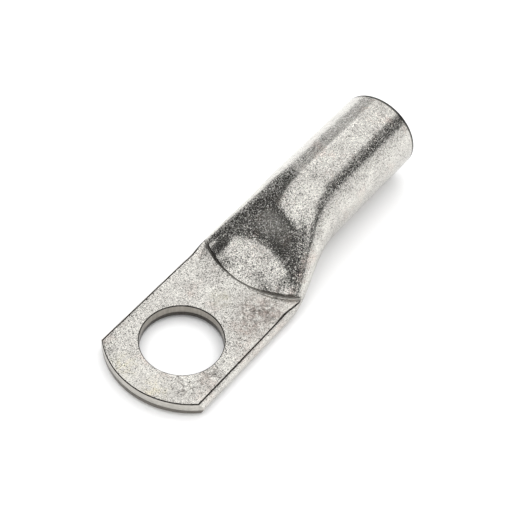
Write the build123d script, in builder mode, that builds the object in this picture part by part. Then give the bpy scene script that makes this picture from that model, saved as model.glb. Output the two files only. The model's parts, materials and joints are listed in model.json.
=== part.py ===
"""Tubular copper cable lug: a length of round tube, pressed flat at one end and punched for a stud.

The origin is the centre of the stud hole on the underside of the palm. +X runs to the barrel's mouth, and
+Z is up, away from the surface that the palm is bolted to. Lengths are in millimetres and angles in degrees.
"""
from build123d import *

import os
from math import atan, cos, radians, sin, tan

# Tube, before it is pressed
bore_diameter = 11.0
wall = 1.5
barrel_length = 21.45
mouth_outer_chamfer = 0.2
mouth_inner_chamfer = 0.4

# Palm, the flat end that is bolted down
stud_hole_diameter = 13.0
palm_width = 19.8
palm_thickness = 3.0
tip_reach = 11.35
tip_radius = 13.7
seam_gap = 0.12
cut_edge_bevel = 0.75

# Press mark, the curved step across the palm where the punch stopped
press_reach = 14.5
press_radius = 15.1
press_foot_radius = 0.25
step_height = 0.35

# Ramp, where the pressed tube opens out into the round barrel. Its middle rises straight from the press mark
# and sinks to a shallow valley between the folds, and its shoulders stand a little proud at its foot.
ramp_length = 16.8
fold_earliness = 0.9
middle_slope = 27.0
middle_straight_length = 5.5
valley_end = 10.5
shoulder_rise = 0.42
shoulder_share = 0.75
shoulder_start = 2.0
shoulder_end = 7.0
narrowing_lag = 0.8
width_power = 1.3
oval_power = 3.0
ramp_stations = 8

# Tube in the palm as it was before the punch came down
barrel_diameter = bore_diameter + 2 * wall
pressed_height = palm_thickness + step_height
seam_low = (palm_thickness - seam_gap) / 2
seam_high = (palm_thickness + seam_gap) / 2

# Stations along the tube
ramp_end = press_reach + ramp_length
ramp_step = ramp_length / ramp_stations
ramp_x = [press_reach + ramp_step * (i + 1) for i in range(ramp_stations)]
straight_run = 2.0
palm_x = [press_reach - straight_run, press_reach]
barrel_x = ramp_end + straight_run

# The inside opens a little behind the outside, which keeps the wall as thick on the slope as in the barrel
steepest = atan(1.5 * (barrel_diameter - pressed_height) / ramp_length)
cavity_lag = wall * tan(steepest / 2)

# Reach of a cutting body past what it cuts
clear = barrel_diameter


def share_along(x, start, end):
    """How far x lies from start to end, from 0 to 1."""
    return min(max((x - start) / (end - start), 0.0), 1.0)


def ease(share):
    """A rise from 0 to 1 that is level at both ends."""
    return share * share * (3 - 2 * share)


def fold_height_at(x):
    """Height of the ramp over its folds."""
    share = share_along(x, press_reach, ramp_end)
    return pressed_height + (barrel_diameter - pressed_height) * ease(share**fold_earliness)


def middle_height_at(x):
    """Height of the ramp along its middle: a straight slope that eases into the height of the folds."""
    straight = pressed_height + max(x - press_reach, 0.0) * tan(radians(middle_slope))
    joined = ease(share_along(x, press_reach + middle_straight_length, press_reach + valley_end))
    return straight + (fold_height_at(x) - straight) * joined


def shoulder_at(x):
    """How far the shoulders stand above the folds, which fades out up the ramp."""
    faded = ease(share_along(x, press_reach + shoulder_start, press_reach + shoulder_end))
    return shoulder_rise * (1 - faded)


def half_width_at(x, pressed_width, diameter):
    """Half the width of a section of the ramp, which narrows a little behind the rise of its height."""
    narrowed = ease(share_along(x, press_reach + narrowing_lag, ramp_end))
    return (diameter + (pressed_width - diameter) * (1 - narrowed) ** width_power) / 2


def pressed_section(x, half_width, low, high):
    """Section of the tube where it is quite flat: straight runs between half-round folds."""
    fold = (high - low) / 2
    side = half_width - fold
    base = Line((-side, low), (side, low))
    right = ThreePointArc((side, low), (half_width, low + fold), (side, high))
    top = Line((side, high), (-side, high))
    left = ThreePointArc((-side, high), (-half_width, low + fold), (-side, low))
    return Plane.YZ.offset(x) * make_face([base, right, top, left])


def oval_section(x, half_width, low, high, middle, shoulder):
    """Section of the ramp: two round folds, a shallow arc below and a curve over shoulders and middle above.

    It keeps its four edges where it is a full circle too, so that each edge meets its own edge in the next
    section.
    """
    half_height = (high - low) / 2
    centre = (high + low) / 2
    angle = atan((half_width / half_height) ** oval_power)
    spread = (half_width - half_height) / (cos(angle) + sin(angle) - 1)
    fold = half_width - spread * cos(angle)
    side = half_width - fold * (1 - cos(angle))
    upper = centre + fold * sin(angle)
    lower = centre - fold * sin(angle)
    base = ThreePointArc((-side, lower), (0, low), (side, lower))
    right = ThreePointArc((side, lower), (half_width, centre), (side, upper))
    top = ThreePointArc((side, upper), (0, high), (-side, upper))
    if middle != high:
        slopes = [(-sin(angle), cos(angle)), (-sin(angle), -cos(angle))]
        crown = [(0, middle)]
        if shoulder > 0:
            reach = side * shoulder_share
            crown = [(reach, upper + shoulder), (0, middle), (-reach, upper + shoulder)]
        top = Spline((side, upper), *crown, (-side, upper), tangents=slopes)
    left = ThreePointArc((-side, upper), (-half_width, centre), (-side, lower))
    return Plane.YZ.offset(x) * make_face([base, right, top, left])


def outer_sections():
    """The tube's outside, from the pressed palm to the round barrel."""
    sections = [pressed_section(x, palm_width / 2, 0, pressed_height) for x in palm_x]
    for x in ramp_x:
        half_width = half_width_at(x, palm_width, barrel_diameter)
        high = fold_height_at(x)
        sections.append(oval_section(x, half_width, 0, high, middle_height_at(x), shoulder_at(x)))
    radius = barrel_diameter / 2
    sections.append(oval_section(barrel_x, radius, 0, barrel_diameter, barrel_diameter, 0))
    return sections


def lens_section(x, half_width, low, high):
    """Section of the inside: two arcs, close together where the walls meet and a circle in the barrel."""
    centre = (high + low) / 2
    base = ThreePointArc((-half_width, centre), (0, low), (half_width, centre))
    top = ThreePointArc((half_width, centre), (0, high), (-half_width, centre))
    return Plane.YZ.offset(x) * make_face([base, top])


def inner_sections():
    """The tube's inside, from the closed seam in the palm to the round bore."""
    slit_width = palm_width - 2 * wall
    bore_high = barrel_diameter - wall
    sections = [lens_section(x, slit_width / 2, seam_low, seam_high) for x in palm_x]
    for x in ramp_x:
        opened = ease(share_along(x - cavity_lag, press_reach, ramp_end))
        low = seam_low + (wall - seam_low) * opened
        raised = (middle_height_at(x - cavity_lag) - pressed_height) / (barrel_diameter - pressed_height)
        high = seam_high + (bore_high - seam_high) * raised
        half_width = half_width_at(x, slit_width, bore_diameter)
        sections.append(lens_section(x, half_width, low, high))
    sections.append(lens_section(barrel_x, bore_diameter / 2, wall, bore_high))
    return sections


def tube(sections):
    """Loft the ramp through its sections and carry it on straight, over the palm and along the barrel."""
    loft(sections)
    extrude(sections[0], amount=press_reach - straight_run + tip_reach, dir=(-1, 0, 0))
    extrude(sections[-1], amount=barrel_length - straight_run, dir=(1, 0, 0))


outside = outer_sections()
inside = inner_sections()

with BuildPart() as cavity:
    tube(inside)

# The punch has a curved front, which leaves the press mark
with BuildPart() as punch:
    with BuildSketch(Plane.XY.offset(palm_thickness)):
        with Locations((-clear, 0)):
            Rectangle(press_reach + press_radius + clear, 2 * clear, align=(Align.MIN, Align.CENTER))
        with Locations((press_reach + press_radius, 0)):
            Circle(press_radius, mode=Mode.SUBTRACT)
    extrude(amount=clear)
    front = punch.faces().filter_by(GeomType.CYLINDER)
    fillet(front.edges().group_by(Axis.Z)[0], press_foot_radius)

# The die that cuts the tip to its arc and turns its lower edge in
tip_centre = tip_radius - tip_reach
with BuildPart() as tip_die:
    with BuildSketch(Plane.YZ.offset(tip_centre)):
        with BuildLine():
            Polyline(
                (tip_radius - cut_edge_bevel, 0),
                (tip_radius, cut_edge_bevel),
                (tip_radius, clear),
                (tip_radius + clear, clear),
                (tip_radius + clear, 0),
                close=True,
            )
        make_face()
    revolve(axis=Axis((tip_centre, 0, 0), (0, 0, 1)), revolution_arc=180)

with BuildPart() as cable_lug:
    tube(outside)
    add(punch.part, mode=Mode.SUBTRACT)
    add(tip_die.part, mode=Mode.SUBTRACT)
    add(cavity.part, mode=Mode.SUBTRACT)
    Hole(stud_hole_diameter / 2)
    underside = cable_lug.faces().filter_by(Plane.XY).sort_by(Axis.Z)[0]
    chamfer(underside.edges().filter_by(GeomType.CIRCLE).sort_by(SortBy.RADIUS)[0], cut_edge_bevel)
    mouth = cable_lug.faces().sort_by(Axis.X)[-1]
    chamfer(mouth.inner_wires()[0].edges(), mouth_inner_chamfer)
    mouth = cable_lug.faces().sort_by(Axis.X)[-1]
    chamfer(mouth.outer_wire().edges(), mouth_outer_chamfer)

cable_lug.part.label = "cable_lug"
os.makedirs("parts", exist_ok=True)
export_step(cable_lug.part, "parts/cable_lug.step")
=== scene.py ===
"""Dresses the tubular cable lug: its tinned skin, the floor it lies on, the studio light and the camera."""

import json
from math import cos, hypot, pi, radians, sin

import bpy
from mathutils import Matrix, Vector


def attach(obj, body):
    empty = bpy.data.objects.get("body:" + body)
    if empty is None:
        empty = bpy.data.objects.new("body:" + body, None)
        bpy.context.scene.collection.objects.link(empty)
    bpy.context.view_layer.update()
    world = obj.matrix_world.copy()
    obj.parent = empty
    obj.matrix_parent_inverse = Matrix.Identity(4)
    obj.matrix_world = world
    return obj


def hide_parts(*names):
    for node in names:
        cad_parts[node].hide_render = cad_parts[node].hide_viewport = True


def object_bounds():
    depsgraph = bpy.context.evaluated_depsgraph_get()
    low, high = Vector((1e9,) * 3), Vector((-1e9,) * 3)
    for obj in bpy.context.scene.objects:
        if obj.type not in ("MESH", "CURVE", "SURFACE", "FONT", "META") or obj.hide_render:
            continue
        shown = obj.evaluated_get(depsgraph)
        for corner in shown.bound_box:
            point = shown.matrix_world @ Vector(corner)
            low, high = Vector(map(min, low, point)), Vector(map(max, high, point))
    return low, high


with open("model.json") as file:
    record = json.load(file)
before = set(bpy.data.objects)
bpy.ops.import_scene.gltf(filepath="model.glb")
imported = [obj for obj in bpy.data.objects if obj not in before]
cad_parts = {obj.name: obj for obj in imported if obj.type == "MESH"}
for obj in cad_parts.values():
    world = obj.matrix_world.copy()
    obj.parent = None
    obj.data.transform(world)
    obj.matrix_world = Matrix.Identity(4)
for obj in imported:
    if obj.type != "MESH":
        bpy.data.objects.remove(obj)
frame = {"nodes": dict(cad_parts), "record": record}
cad_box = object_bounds()

bl_info = {
    "name": "Tubular cable lug",
    "version": (1, 0, 0),
    "blender": (4, 5, 0),
    "location": "View3D > Sidebar > Cable lug",
    "description": "Dresses a packed cable lug in tumbled tin plate and lights it in a plain studio",
    "category": "Object",
}

MM = 0.001

# The lug's own sizes, from its mounts and its box
mounts = {mount["name"]: mount for mount in frame["record"]["mounts"]}
palm_top = mounts["washer_face"]["pos_m"][2]
hole_radius = mounts["stud_hole"]["dims"]["r_mm"] * MM
barrel_axis_height = mounts["barrel_bore"]["pos_m"][2]
mouth_x = cad_box[1][0]

# How the skin's edges and faces are told apart. The palm's long edges lie outside palm_side and end at the
# press mark's corner. Its tip lies outside the end radius, and the step lies low over the palm.
palm_side = cad_box[1][1] - 0.8 * MM
PALM_END_RADIUS = 9.0 * MM
PRESS_MARK_CORNER = 17.3 * MM
PRESS_STEP_END = 19.0 * MM
PRESS_STEP_HEIGHT = 0.4 * MM
HOLE_BEVEL_REACH = 0.8 * MM

# Least turn of a sharp edge, most turn of a flat one, and how close two points are one
SHARP = radians(30)
FLAT = radians(0.3)
SAME_POINT = 0.0001 * MM

# Material slots of the skin
TIN, EDGE, HOLE_WALL, TIP_FACE, PRESS_STEP = range(5)

# Stains on the palm's top: place and radius in mm from the hole's axis, colour and strength
STAINS = (
    (11.9, -5.5, 4.6, "A3928A", 0.8),
    (8.0, -6.9, 4.0, "AD9C93", 0.7),
    (13.2, -7.8, 3.2, "9C8B83", 0.7),
    (10.1, 0.3, 2.6, "A8A28C", 0.8),
    (-9.3, 3.7, 3.4, "DDD5B4", 0.5),
    (-9.8, -2.6, 3.2, "E4DAB6", 0.5),
)

# Patches of fine cracks in the stains, given in the same way
CRACKS = (
    (-6.3, -6.0, 3.4, "6E6862", 0.75),
    (-2.4, -8.0, 3.0, "6E6862", 0.75),
    (11.5, -5.5, 5.6, "6E6862", 0.75),
)

# Middle of the palm's tip, where the plate has worn smoother, and how far that reaches
SMOOTH_TIP = (-10.0 * MM, 0.5 * MM, 3.0 * MM)
SMOOTH_TIP_RADIUS = 7.5 * MM

# Foot of the valley on the ramp, where the tube has sunk a little more, how far that reaches, and the slope
# by which its surface leans there
VALLEY_FOOT = (25.6 * MM, -1.3 * MM, 11.4 * MM)
VALLEY_FOOT_RADIUS = 4.8 * MM
VALLEY_FOOT_LEAN = (0.24, 0.05, 0.0)

# The blush is read this far from the clouds, in metres, so that the two noises don't repeat each other
BLUSH_OFFSET = (0.031, 0.017, 0.0)

# Point on the lug that the camera looks at, the width of its sensor in mm, and how near it still draws
AIM = Vector((20.36, 1.24, 3.0)) * MM
SENSOR_WIDTH = 36.0
NEAREST = 10.0 * MM


def srgb(hex_colour):
    """Linear colour for a shader from an sRGB hex value such as 'D9D6D0'."""
    channels = [int(hex_colour[i : i + 2], 16) / 255 for i in (0, 2, 4)]
    linear = [c / 12.92 if c <= 0.04045 else ((c + 0.055) / 1.055) ** 2.4 for c in channels]
    return (*linear, 1.0)


class LugFinishSettings(bpy.types.PropertyGroup):
    """Sizes and colours of the lug's tinned skin."""

    edge_radius: bpy.props.FloatProperty(
        name="Edge radius",
        description="Radius that tumbling has left on the lug's sharp edges",
        default=0.15 * MM,
        min=0.02 * MM,
        max=0.3 * MM,
        unit="LENGTH",
    )
    grain_size: bpy.props.FloatProperty(
        name="Grain size",
        description="Spacing of the fine grains that tumbling beats into the tin",
        default=0.085 * MM,
        unit="LENGTH",
    )
    grain_tilt: bpy.props.FloatProperty(
        name="Grain tilt", description="How far the steepest grains lean, as a slope", default=2.1
    )
    grain_contrast: bpy.props.FloatProperty(
        name="Grain contrast", description="Spread from the darkest to the palest grain", default=0.43
    )
    swirl_size: bpy.props.FloatProperty(
        name="Swirl size",
        description="Width of the swirls that draw the grains out into short curved strokes",
        default=0.4 * MM,
        unit="LENGTH",
    )
    dimple_size: bpy.props.FloatProperty(
        name="Dimple size",
        description="Width of the shallow dents that the grains lie in",
        default=0.9 * MM,
        unit="LENGTH",
    )
    crack_size: bpy.props.FloatProperty(
        name="Crack size",
        description="Width of the islands between the fine cracks in the stains",
        default=2.7 * MM,
        unit="LENGTH",
    )
    blotch_size: bpy.props.FloatProperty(
        name="Blotch size",
        description="Width of the patches where the tin is thinner or greyer",
        default=3.0 * MM,
        unit="LENGTH",
    )
    grey_tin: bpy.props.FloatVectorProperty(
        name="Grey tin",
        description="Colour of the plate in its greyest patches",
        size=4,
        default=srgb("D1CEC8"),
        subtype="COLOR",
    )
    plain_tin: bpy.props.FloatVectorProperty(
        name="Plain tin",
        description="Colour of most of the plate",
        size=4,
        default=srgb("DDDAD4"),
        subtype="COLOR",
    )
    bright_tin: bpy.props.FloatVectorProperty(
        name="Bright tin",
        description="Colour of the plate in its brightest patches",
        size=4,
        default=srgb("E5E3DC"),
        subtype="COLOR",
    )
    copper_blush: bpy.props.FloatVectorProperty(
        name="Copper blush",
        description="Colour where the plate is thin and the copper tints it",
        size=4,
        default=srgb("D9C2B6"),
        subtype="COLOR",
    )


class LugStageSettings(bpy.types.PropertyGroup):
    """Floor, softboxes and camera."""

    floor_width: bpy.props.FloatProperty(
        name="Floor width", description="Side of the square floor", default=3.0, unit="LENGTH"
    )
    floor_colour: bpy.props.FloatVectorProperty(
        name="Floor colour",
        description="Colour of the acrylic sheet",
        size=4,
        default=srgb("F4F4F4"),
        subtype="COLOR",
    )
    camera_azimuth: bpy.props.FloatProperty(
        name="Camera azimuth",
        description="Direction that the camera looks in, turned from +X towards +Y",
        default=radians(33.377),
        subtype="ANGLE",
    )
    camera_elevation: bpy.props.FloatProperty(
        name="Camera elevation",
        description="How steeply the camera looks down",
        default=radians(50.079),
        subtype="ANGLE",
    )
    camera_roll: bpy.props.FloatProperty(
        name="Camera roll",
        description="Turn about the line of sight",
        default=radians(4.715),
        subtype="ANGLE",
    )
    camera_distance: bpy.props.FloatProperty(
        name="Camera distance",
        description="Distance from the camera to the point that it looks at",
        default=240.26 * MM,
        unit="LENGTH",
    )
    camera_lens: bpy.props.FloatProperty(
        name="Lens",
        description="Focal length on a 36 mm sensor, in millimetres",
        default=106.27,
        unit="CAMERA",
    )
    key_brightness: bpy.props.FloatProperty(
        name="Key brightness", description="Brightness of the softbox overhead", default=1.17
    )
    side_brightness: bpy.props.FloatProperty(
        name="Side brightness",
        description="Brightness of the upright softboxes on the near side",
        default=0.95,
    )
    fill_brightness: bpy.props.FloatProperty(
        name="Fill brightness", description="Brightness of the weak softbox on the far side", default=0.5
    )
    reflector_brightness: bpy.props.FloatProperty(
        name="Reflector brightness", description="Brightness of the dim sheet beyond the tip", default=0.14
    )
    wash_brightness: bpy.props.FloatProperty(
        name="Wash brightness",
        description="Brightness of the overhead light that only whitens the floor",
        default=1.05,
    )


def add_node(tree, kind, inputs=None, **settings):
    """Adds a node with its settings. Each input takes a value, or a link if it is given a node's output."""
    node = tree.nodes.new(kind)
    for name, setting in settings.items():
        setattr(node, name, setting)
    for socket, value in (inputs or {}).items():
        if isinstance(value, bpy.types.NodeSocket):
            tree.links.new(value, node.inputs[socket])
        else:
            node.inputs[socket].default_value = value
    return node


def ramp_stops(node, stops):
    """Sets a colour ramp's stops from pairs of position and colour."""
    elements = node.color_ramp.elements
    while len(elements) > len(stops):
        elements.remove(elements[-1])
    while len(elements) < len(stops):
        elements.new(1.0)
    for element, (position, colour) in zip(elements, stops):
        element.position = position
        element.color = colour


def new_metal(name):
    """A material with a metal's shader, its node tree, its shader and its object coordinates."""
    material = bpy.data.materials.new(name)
    material.use_nodes = True
    tree = material.node_tree
    shader = tree.nodes["Principled BSDF"]
    shader.inputs["Metallic"].default_value = 1.0
    place = add_node(tree, "ShaderNodeTexCoord").outputs["Object"]
    return material, tree, shader, place


def near_spot(tree, place, spot, radius):
    """Gives 1 at a spot on the lug, falling smoothly to 0 at a radius from it."""
    away = add_node(tree, "ShaderNodeVectorMath", {0: place, 1: spot}, operation="DISTANCE")
    return add_node(
        tree,
        "ShaderNodeMapRange",
        {"Value": away.outputs["Value"], "From Max": radius, "To Min": 1.0, "To Max": 0.0},
        interpolation_type="SMOOTHSTEP",
    ).outputs["Result"]


def marked(tree, place, mark, pattern, plate):
    """Lays the colour of a stain or of cracks over the plate, round a spot on the palm and in a pattern."""
    x, y, radius, colour, strength = mark
    around = near_spot(tree, place, (x * MM, y * MM, palm_top), radius * MM)
    shape = add_node(tree, "ShaderNodeMath", {0: around, 1: pattern}, operation="MULTIPLY")
    share = add_node(tree, "ShaderNodeMath", {0: shape.outputs["Value"], 1: strength}, operation="MULTIPLY")
    return add_node(
        tree,
        "ShaderNodeMix",
        {"Factor": share.outputs["Value"], "A": plate, "B": srgb(colour)},
        data_type="RGBA",
    ).outputs["Result"]


def stained_tin(tree, place, cloud, finish):
    """Colour of the plate, with its pink blush, its stains and their fine cracks."""
    tin = add_node(tree, "ShaderNodeValToRGB", {"Fac": cloud})
    ramp_stops(tin, [(0.30, finish.grey_tin), (0.46, finish.plain_tin), (0.66, finish.bright_tin)])

    elsewhere = add_node(tree, "ShaderNodeVectorMath", {0: place, 1: BLUSH_OFFSET}, operation="ADD")
    blush = add_node(
        tree,
        "ShaderNodeTexNoise",
        {
            "Vector": elsewhere.outputs["Vector"],
            "Scale": 1.0 / (1.4 * finish.blotch_size),
            "Detail": 6.0,
            "Roughness": 0.7,
        },
    )
    thin = add_node(
        tree,
        "ShaderNodeMapRange",
        {"Value": blush.outputs["Fac"], "From Min": 0.54, "From Max": 0.68, "To Max": 0.35},
    )
    plate = add_node(
        tree,
        "ShaderNodeMix",
        {"Factor": thin.outputs["Result"], "A": tin.outputs["Color"], "B": finish.copper_blush},
        data_type="RGBA",
    ).outputs["Result"]

    patches = add_node(
        tree,
        "ShaderNodeTexNoise",
        {"Vector": place, "Scale": 1.0 / (0.5 * finish.blotch_size), "Detail": 6.0, "Roughness": 0.75},
    )
    ragged = add_node(
        tree, "ShaderNodeMapRange", {"Value": patches.outputs["Fac"], "From Min": 0.42, "From Max": 0.6}
    )
    for stain in STAINS:
        plate = marked(tree, place, stain, ragged.outputs["Result"], plate)

    # A crack runs where this noise is at its middle height
    islands = add_node(
        tree,
        "ShaderNodeTexNoise",
        {
            "Vector": place,
            "Scale": 1.0 / finish.crack_size,
            "Detail": 3.0,
            "Roughness": 0.6,
            "Distortion": 0.8,
        },
    )
    off_middle = add_node(tree, "ShaderNodeMath", {0: islands.outputs["Fac"], 1: 0.5}, operation="SUBTRACT")
    off_line = add_node(tree, "ShaderNodeMath", {0: off_middle.outputs["Value"]}, operation="ABSOLUTE")
    fading = {
        "Value": off_line.outputs["Value"],
        "From Min": 0.012,
        "From Max": 0.05,
        "To Min": 1.0,
        "To Max": 0.0,
    }
    line = add_node(tree, "ShaderNodeMapRange", fading)
    for crack in CRACKS:
        plate = marked(tree, place, crack, line.outputs["Result"], plate)
    return plate


def dark_mouth_band(tree, along, plate):
    """Lays a dark band round the mouth's rim, and leaves the mouth's face as it is."""
    on_rim = add_node(
        tree,
        "ShaderNodeMapRange",
        {"Value": along, "From Min": mouth_x - 0.7 * MM, "From Max": mouth_x - 0.45 * MM, "To Max": 0.95},
    )
    clear_of_face = {
        "Value": along,
        "From Min": mouth_x - 0.05 * MM,
        "From Max": mouth_x - 0.01 * MM,
        "To Min": 1.0,
        "To Max": 0.0,
    }
    before_face = add_node(tree, "ShaderNodeMapRange", clear_of_face)
    band = add_node(
        tree,
        "ShaderNodeMath",
        {0: on_rim.outputs["Result"], 1: before_face.outputs["Result"]},
        operation="MULTIPLY",
    )
    return add_node(
        tree,
        "ShaderNodeMix",
        {"Factor": band.outputs["Value"], "A": plate, "B": srgb("2E2C2A")},
        data_type="RGBA",
    ).outputs["Result"]


def swirled_grains(tree, place, finish):
    """Gives each beaten grain a random colour, and draws the grains out into short curved strokes.

    Real grains are a few hundredths of a millimetre wide. These are drawn coarser, so that they show.
    """
    swirl = add_node(tree, "ShaderNodeTexNoise", {"Vector": place, "Scale": 1.0 / finish.swirl_size})
    turned = add_node(
        tree,
        "ShaderNodeVectorMath",
        {0: swirl.outputs["Color"], 1: (finish.swirl_size,) * 3, 2: place},
        operation="MULTIPLY_ADD",
    )
    return add_node(
        tree, "ShaderNodeTexVoronoi", {"Vector": turned.outputs["Vector"], "Scale": 1.0 / finish.grain_size}
    ).outputs["Color"]


def grain_and_painted_side_shade(tree, red, relief, facing, finish):
    """Shade of each grain, times a painted shade that darkens the faces turned sideways or down, for the
    darker floor that they mirror.
    """
    off_mean = add_node(
        tree,
        "ShaderNodeMapRange",
        {"Value": red, "To Min": -0.5 * finish.grain_contrast, "To Max": 0.5 * finish.grain_contrast},
    )
    spread = add_node(
        tree, "ShaderNodeMath", {0: off_mean.outputs["Result"], 1: relief}, operation="MULTIPLY"
    )
    mean_shade = 0.935
    shade = add_node(tree, "ShaderNodeMath", {0: spread.outputs["Value"], 1: mean_shade}, operation="ADD")
    upwards = add_node(tree, "ShaderNodeSeparateXYZ", {"Vector": facing}).outputs["Z"]
    # Painted shade: faces turned sideways or down are darkened to 0.8, standing in for the shaded floor
    # beside the lug that they mirror
    painted_side_shade = add_node(
        tree, "ShaderNodeMapRange", {"Value": upwards, "From Min": 0.1, "From Max": 0.6, "To Min": 0.8}
    )
    return add_node(
        tree,
        "ShaderNodeMath",
        {0: shade.outputs["Value"], 1: painted_side_shade.outputs["Result"]},
        operation="MULTIPLY",
    ).outputs["Value"]


def grain_tilt(tree, green, cloud, along, relief, finish):
    """How far each grain leans. Most lie nearly flat, and the ramp and barrel are beaten most."""
    steep = add_node(tree, "ShaderNodeMath", {0: green, 1: 3.5}, operation="POWER")
    by_cloud = {
        "Value": cloud,
        "From Min": 0.35,
        "From Max": 0.6,
        "To Min": 1.2 * finish.grain_tilt,
        "To Max": 0.7 * finish.grain_tilt,
    }
    along_tube = {
        "Value": along,
        "From Min": PALM_END_RADIUS,
        "From Max": PRESS_MARK_CORNER,
        "To Min": 1.0,
        "To Max": 1.3,
    }
    tilt = steep.outputs["Value"]
    for factor in (
        add_node(tree, "ShaderNodeMapRange", by_cloud).outputs["Result"],
        add_node(tree, "ShaderNodeMapRange", along_tube).outputs["Result"],
        relief,
    ):
        tilt = add_node(tree, "ShaderNodeMath", {0: tilt, 1: factor}, operation="MULTIPLY").outputs["Value"]
    return tilt


def leaning_facets(tree, place, facing, grains, tilt):
    """Turns the surface at each grain, and a little more at the foot of the valley."""
    lean = add_node(tree, "ShaderNodeVectorMath", {0: grains, 1: (0.5, 0.5, 0.5)}, operation="SUBTRACT")
    leaning = add_node(
        tree, "ShaderNodeVectorMath", {0: lean.outputs["Vector"], "Scale": tilt}, operation="SCALE"
    )
    at_foot = near_spot(tree, place, VALLEY_FOOT, VALLEY_FOOT_RADIUS)
    dished = add_node(
        tree, "ShaderNodeVectorMath", {0: VALLEY_FOOT_LEAN, "Scale": at_foot}, operation="SCALE"
    )
    turned = facing
    for change in (dished, leaning):
        turned = add_node(
            tree, "ShaderNodeVectorMath", {0: turned, 1: change.outputs["Vector"]}, operation="ADD"
        ).outputs["Vector"]
    return add_node(tree, "ShaderNodeVectorMath", {0: turned}, operation="NORMALIZE").outputs["Vector"]


def tumbled_tin_plate(finish):
    """Electro-tinned copper, tumbled with the rest of its batch.

    The tin is a soft pale metal, a shade warmer than steel. Tumbling beats it into fine grains that lean
    every way, which break each reflection into bright and dark specks. Where the plate is thin, the copper
    below it gives a faint pink blush, and the palm has yellow and grey stains with fine cracks in them.
    """
    material, tree, shader, place = new_metal("tumbled_tin_plate_on_copper")
    cloud = add_node(
        tree,
        "ShaderNodeTexNoise",
        {
            "Vector": place,
            "Scale": 1.0 / finish.blotch_size,
            "Detail": 5.0,
            "Roughness": 0.62,
            "Distortion": 0.6,
        },
    ).outputs["Fac"]
    grains = swirled_grains(tree, place, finish)
    parts = add_node(tree, "ShaderNodeSeparateColor", {"Color": grains}).outputs
    along = add_node(tree, "ShaderNodeSeparateXYZ", {"Vector": place}).outputs["X"]
    facing = add_node(tree, "ShaderNodeNewGeometry").outputs["Normal"]
    worn_smooth = near_spot(tree, place, SMOOTH_TIP, SMOOTH_TIP_RADIUS)
    relief = add_node(
        tree, "ShaderNodeMapRange", {"Value": worn_smooth, "To Min": 1.0, "To Max": 0.5}
    ).outputs["Result"]

    plate = dark_mouth_band(tree, along, stained_tin(tree, place, cloud, finish))
    shade = grain_and_painted_side_shade(tree, parts["Red"], relief, facing, finish)
    colour = add_node(
        tree,
        "ShaderNodeMix",
        {"Factor": 1.0, "A": plate, "B": shade},
        data_type="RGBA",
        blend_type="MULTIPLY",
    )
    tree.links.new(colour.outputs["Result"], shader.inputs["Base Color"])

    tilt = grain_tilt(tree, parts["Green"], cloud, along, relief, finish)
    dimples = add_node(tree, "ShaderNodeTexNoise", {"Vector": place, "Scale": 1.0 / finish.dimple_size})
    dents = add_node(
        tree,
        "ShaderNodeBump",
        {
            "Strength": 1.0,
            "Distance": 0.02 * MM,
            "Height": dimples.outputs["Fac"],
            "Normal": leaning_facets(tree, place, facing, grains, tilt),
        },
    )
    tree.links.new(dents.outputs["Normal"], shader.inputs["Normal"])
    shader.inputs["Roughness"].default_value = 0.18
    return material


def dark_edge():
    """The same plate on the edges, darker and rougher.

    Each edge draws a dark line.
    """
    material, tree, shader, place = new_metal("dark_tin_edge")
    worn = add_node(
        tree,
        "ShaderNodeTexNoise",
        {"Vector": place, "Scale": 1.0 / (0.4 * MM), "Detail": 3.0, "Roughness": 0.6},
    )
    colour = add_node(tree, "ShaderNodeValToRGB", {"Fac": worn.outputs["Fac"]})
    ramp_stops(colour, [(0.35, srgb("2B2927")), (0.65, srgb("55524E"))])
    tree.links.new(colour.outputs["Color"], shader.inputs["Base Color"])
    shader.inputs["Roughness"].default_value = 0.4
    return material


def sheared_copper(name, burnished, torn, stretch):
    """Tinned copper where a die has cut it: burnished above the seam, and duller and torn below it.

    The die drags fine streaks along its cut, and the stretch says which way they run. The punch drags the
    same streaks along its step, but does not tear it. The colours given for the hole's wall are darker, as
    painted shade.
    """
    material, tree, shader, place = new_metal(name)
    drawn = add_node(tree, "ShaderNodeVectorMath", {0: place, 1: stretch}, operation="MULTIPLY")
    streaks = add_node(
        tree,
        "ShaderNodeTexNoise",
        {"Vector": drawn.outputs["Vector"], "Scale": 1.0 / (0.3 * MM), "Detail": 3.0, "Roughness": 0.6},
    )
    height = add_node(tree, "ShaderNodeSeparateXYZ", {"Vector": place}).outputs["Z"]
    seam = 0.5 * palm_top
    above = add_node(
        tree,
        "ShaderNodeMapRange",
        {"Value": height, "From Min": seam - 0.1 * MM, "From Max": seam + 0.05 * MM},
    )
    layers = add_node(
        tree,
        "ShaderNodeMix",
        {"Factor": above.outputs["Result"], "A": srgb(torn), "B": srgb(burnished)},
        data_type="RGBA",
    )
    by_streak = {
        "Value": streaks.outputs["Fac"],
        "From Min": 0.3,
        "From Max": 0.7,
        "To Min": 0.75,
        "To Max": 1.1,
    }
    shade = add_node(tree, "ShaderNodeMapRange", by_streak)
    colour = add_node(
        tree,
        "ShaderNodeMix",
        {"Factor": 1.0, "A": layers.outputs["Result"], "B": shade.outputs["Result"]},
        data_type="RGBA",
        blend_type="MULTIPLY",
    )
    tree.links.new(colour.outputs["Result"], shader.inputs["Base Color"])
    ridges = add_node(
        tree,
        "ShaderNodeBump",
        {"Strength": 1.0, "Distance": 0.01 * MM, "Height": streaks.outputs["Fac"]},
    )
    tree.links.new(ridges.outputs["Normal"], shader.inputs["Normal"])
    shader.inputs["Roughness"].default_value = 0.3
    return material


def on_palm_outline(point):
    """Whether a point lies on the sharp outline of the palm's top or on the stud hole's rim."""
    from_axis = hypot(point.x, point.y)
    level = abs(point.z - palm_top) < 0.01 * MM
    rim = from_axis < hole_radius + 0.05 * MM
    tip = point.x < 0 and from_axis > PALM_END_RADIUS
    side = abs(point.y) > palm_side and point.x < PRESS_MARK_CORNER
    return level and (rim or tip or side)


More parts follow.
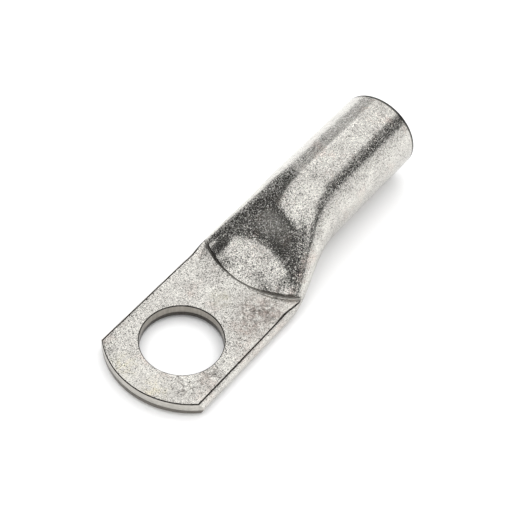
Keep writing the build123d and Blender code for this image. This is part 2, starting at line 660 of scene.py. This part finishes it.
def select_sharp_edges(mesh, wanted):
    """Selects the sharp edges whose two ends are both wanted."""
    faces_at = {}
    for face in mesh.polygons:
        for key in face.edge_keys:
            faces_at.setdefault(key, []).append(face.normal)
    for edge in mesh.edges:
        normals = faces_at[edge.key]
        sharp = len(normals) == 2 and normals[0].angle(normals[1]) > SHARP
        edge.select = sharp and all(wanted(mesh.vertices[i].co) for i in edge.vertices)


def cut_by(face):
    """The material slot of a face, from the tool that made it."""
    centre, normal = face.center, face.normal
    from_axis = hypot(centre.x, centre.y)
    upright = abs(normal.z) < 0.3
    towards_tip = normal.x < -0.4

    in_hole = from_axis < hole_radius + HOLE_BEVEL_REACH and centre.z > 0.05 * MM
    if in_hole and (upright or normal.z < 0):
        return HOLE_WALL

    in_tip = centre.x < -0.6 * PALM_END_RADIUS and from_axis > PALM_END_RADIUS
    if in_tip and towards_tip and upright:
        return TIP_FACE

    above_palm = palm_top + 0.02 * MM < centre.z < palm_top + PRESS_STEP_HEIGHT
    sloped = normal.z < 0.75
    if above_palm and centre.x < PRESS_STEP_END and towards_tip and sloped:
        return PRESS_STEP

    at_mouth = centre.x > mouth_x - 0.25 * MM
    chamfered = 0.3 < normal.x < 0.95
    outwards = normal.y * centre.y + normal.z * (centre.z - barrel_axis_height) > 0
    if at_mouth and chamfered and outwards:
        return EDGE
    return TIN


class CABLELUG_OT_tinned_skin(bpy.types.Operator):
    """Give the lug its tumbled edges and its tin plate"""

    bl_idname = "cablelug.tinned_skin"
    bl_label = "Tinned skin"

    def execute(self, context):
        finish = context.scene.cablelug_finish
        bpy.ops.object.select_all(action="DESELECT")
        solid = frame["nodes"]["cable_lug"]
        solid.select_set(True)
        context.view_layer.objects.active = solid
        bpy.ops.object.duplicate()
        skin = context.active_object
        skin.name = "lug_skin"
        skin.parent = None
        skin.data.materials.clear()
        along_punch = (1.0, 1.0, 0.08)
        along_tip = (1.0, 0.08, 1.0)
        for material in (
            tumbled_tin_plate(finish),
            dark_edge(),
            # The hole's copy is painted darker than the tip's, most of all below the seam: painted shade
            # for the shaded floor inside the hole that its wall mirrors
            sheared_copper("sheared_copper_in_hole_with_painted_shade", "969189", "4B4844", along_punch),
            sheared_copper("sheared_tinned_copper_at_tip", "BCB9B2", "716D67", along_tip),
            sheared_copper("punch_rubbed_tin_plate", "D8D5CE", "D8D5CE", along_punch),
        ):
            skin.data.materials.append(material)

        # The solid's loose triangles are merged first, so that its sharp edges can be found and bevelled
        bpy.ops.object.mode_set(mode="EDIT")
        bpy.ops.mesh.select_all(action="SELECT")
        bpy.ops.mesh.customdata_custom_splitnormals_clear()
        bpy.ops.mesh.remove_doubles(threshold=SAME_POINT)
        bpy.ops.mesh.dissolve_limited(angle_limit=FLAT)
        bpy.ops.mesh.select_mode(type="EDGE")
        bpy.ops.mesh.select_all(action="DESELECT")
        bpy.ops.object.mode_set(mode="OBJECT")
        select_sharp_edges(skin.data, on_palm_outline)
        bpy.ops.object.mode_set(mode="EDIT")
        bpy.ops.mesh.bevel(
            offset=finish.edge_radius, segments=3, affect="EDGES", clamp_overlap=False, material=EDGE
        )
        bpy.ops.object.mode_set(mode="OBJECT")
        for face in skin.data.polygons:
            if face.material_index == TIN:
                face.material_index = cut_by(face)
        bpy.ops.object.shade_smooth_by_angle(angle=SHARP)
        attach(skin, "root")
        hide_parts("cable_lug")
        return {"FINISHED"}


def white_acrylic(colour):
    """Matt white acrylic sheet, a pale and even floor with only the lug's soft shadow on it."""
    material = bpy.data.materials.new("matt_white_acrylic")
    material.use_nodes = True
    shader = material.node_tree.nodes["Principled BSDF"]
    shader.inputs["Base Color"].default_value = colour
    shader.inputs["Roughness"].default_value = 0.9
    return material


def add_softbox(name, place, facing, width, height, brightness):
    """A rectangular softbox centred at a place in metres, as bright as a mirror shows it, 1 for white."""
    turn = Vector(facing).to_track_quat("-Z", "Y")
    bpy.ops.object.light_add(type="AREA", location=place, rotation=turn.to_euler())
    lamp = bpy.context.active_object
    lamp.name = name
    lamp.data.shape = "RECTANGLE"
    lamp.data.size = width
    lamp.data.size_y = height
    lamp.data.energy = brightness * pi * width * height
    return lamp


class CABLELUG_OT_stage(bpy.types.Operator):
    """Lay the pale floor, hang the softboxes and set the camera at the photograph's angle"""

    bl_idname = "cablelug.stage"
    bl_label = "Studio stage"

    def execute(self, context):
        stage = context.scene.cablelug_stage
        floor_level = cad_box[0][2] - 0.01 * MM
        bpy.ops.object.select_all(action="DESELECT")
        bpy.ops.mesh.primitive_plane_add(size=stage.floor_width, location=(0, 0, floor_level))
        floor = context.active_object
        floor.name = "floor"
        bpy.ops.object.transform_apply(location=True, rotation=True, scale=True)
        floor.data.materials.append(white_acrylic(stage.floor_colour))

        down = (0, 0, -1)
        from_near_side = (0, 1, 0)
        from_far_side = (0, -1, 0)
        from_tip = (1, 0, 0)
        key = stage.key_brightness
        key_ends = 1.15 * key
        side = stage.side_brightness
        tip_side = 0.5 * side
        add_softbox("key_softbox", (0.29, 0.0, 1.0), down, 1.02, 1.6, key)
        add_softbox("key_tip_end", (-0.37, 0.335, 1.0), down, 0.3, 0.77, key_ends)
        add_softbox("key_mouth_end", (0.975, 0.225, 1.0), down, 0.35, 1.45, key_ends)
        add_softbox("dim_reflector", (-1.9, 0.5, 1.0), down, 1.6, 1.6, stage.reflector_brightness)
        add_softbox("side_softbox", (0.75, -1.0, 0.28), from_near_side, 1.8, 0.56, side)
        add_softbox("side_tip_end", (-0.5, -1.0, 0.5), from_near_side, 0.7, 1.0, side)
        add_softbox("fill_softbox", (1.6, 1.0, 0.75), from_far_side, 1.7, 1.5, stage.fill_brightness)
        add_softbox("tip_side_softbox", (-1.6, 0.0, 0.3), from_tip, 2.4, 0.6, tip_side)
        wash = add_softbox("floor_wash", (0.0, 0.0, 1.2), down, 5.0, 5.0, stage.wash_brightness)
        wash.visible_glossy = False

        # The studio is dim to the lights and reflections, with a white backdrop behind the floor
        world = bpy.data.worlds.new("dim_studio")
        world.use_nodes = True
        background = world.node_tree.nodes["Background"]
        background.inputs["Color"].default_value = srgb("FFFFFF")
        tree = world.node_tree
        seen = add_node(tree, "ShaderNodeLightPath").outputs["Is Camera Ray"]
        glow = add_node(tree, "ShaderNodeMapRange", {"Value": seen, "To Min": 0.05, "To Max": 1.0})
        tree.links.new(glow.outputs["Result"], background.inputs["Strength"])
        context.scene.world = world
        context.scene.view_settings.view_transform = "Standard"

        azimuth, elevation, roll = stage.camera_azimuth, stage.camera_elevation, stage.camera_roll
        sight = Vector((cos(elevation) * cos(azimuth), cos(elevation) * sin(azimuth), -sin(elevation)))
        level = sight.cross(Vector((0, 0, 1))).normalized()
        upright = level.cross(sight)
        right = cos(roll) * level + sin(roll) * upright
        up = -sin(roll) * level + cos(roll) * upright
        turn = Matrix((right, up, -sight)).transposed().to_euler()
        bpy.ops.object.camera_add(location=AIM - sight * stage.camera_distance, rotation=turn)
        camera = context.active_object
        camera.data.sensor_width = SENSOR_WIDTH
        camera.data.lens = stage.camera_lens
        camera.data.clip_start = NEAREST
        context.scene.camera = camera
        return {"FINISHED"}


class CABLELUG_PT_panel(bpy.types.Panel):
    """Lists the lug's pieces and their settings"""

    bl_label = "Cable lug"
    bl_idname = "CABLELUG_PT_panel"
    bl_space_type = "VIEW_3D"
    bl_region_type = "UI"
    bl_category = "Cable lug"

    def draw(self, context):
        for settings in (context.scene.cablelug_finish, context.scene.cablelug_stage):
            for name in settings.__annotations__:
                self.layout.prop(settings, name)
        self.layout.operator("cablelug.tinned_skin")
        self.layout.operator("cablelug.stage")


CLASSES = (
    LugFinishSettings,
    LugStageSettings,
    CABLELUG_OT_tinned_skin,
    CABLELUG_OT_stage,
    CABLELUG_PT_panel,
)


def register():
    for each in CLASSES:
        bpy.utils.register_class(each)
    bpy.types.Scene.cablelug_finish = bpy.props.PointerProperty(type=LugFinishSettings)
    bpy.types.Scene.cablelug_stage = bpy.props.PointerProperty(type=LugStageSettings)


def unregister():
    del bpy.types.Scene.cablelug_stage
    del bpy.types.Scene.cablelug_finish
    for each in reversed(CLASSES):
        bpy.utils.unregister_class(each)


def main():
    register()
    bpy.ops.cablelug.tinned_skin()
    bpy.ops.cablelug.stage()


if __name__ == "__main__":
    main()
